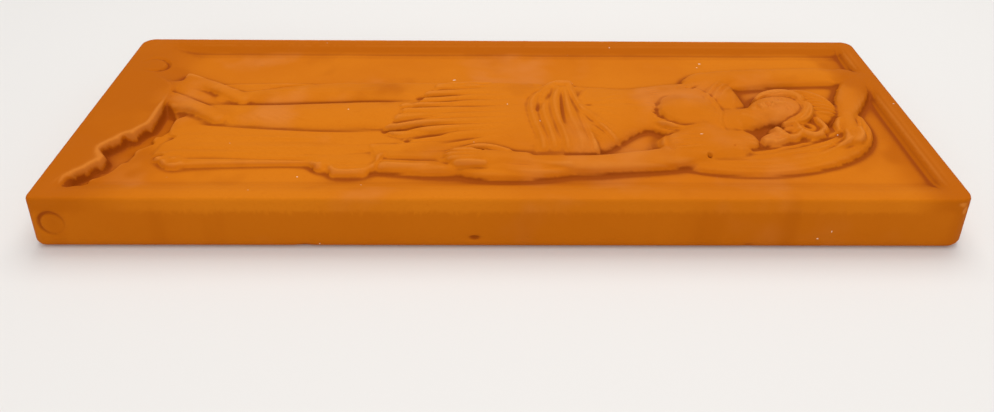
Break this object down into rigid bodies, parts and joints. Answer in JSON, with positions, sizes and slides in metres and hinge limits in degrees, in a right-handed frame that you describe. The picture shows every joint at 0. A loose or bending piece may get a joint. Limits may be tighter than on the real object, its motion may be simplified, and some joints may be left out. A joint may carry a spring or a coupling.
{
  "type": "decorative wall plaque",
  "caption": "Terracotta wall plaque: a standing draped woman in low relief, one arm over her head, on a sunken field inside a plain raised border.",
  "frame": {"origin": "middle of the flat back, on the plane of the wall", "axes": "+X up the figure towards the head end, +Y towards the viewer's left when the plaque hangs upright, +Z out of the wall through the carved face"},
  "size_m": [0.5664, 0.2164, 0.0431],
  "materials": {
    "terracotta": "matt, unglazed, waxed orange clay, paler and greyer on worn ridges"
  },
  "bodies": {
    "root": {"plaque": "terracotta"}
  },
  "joints": []
}
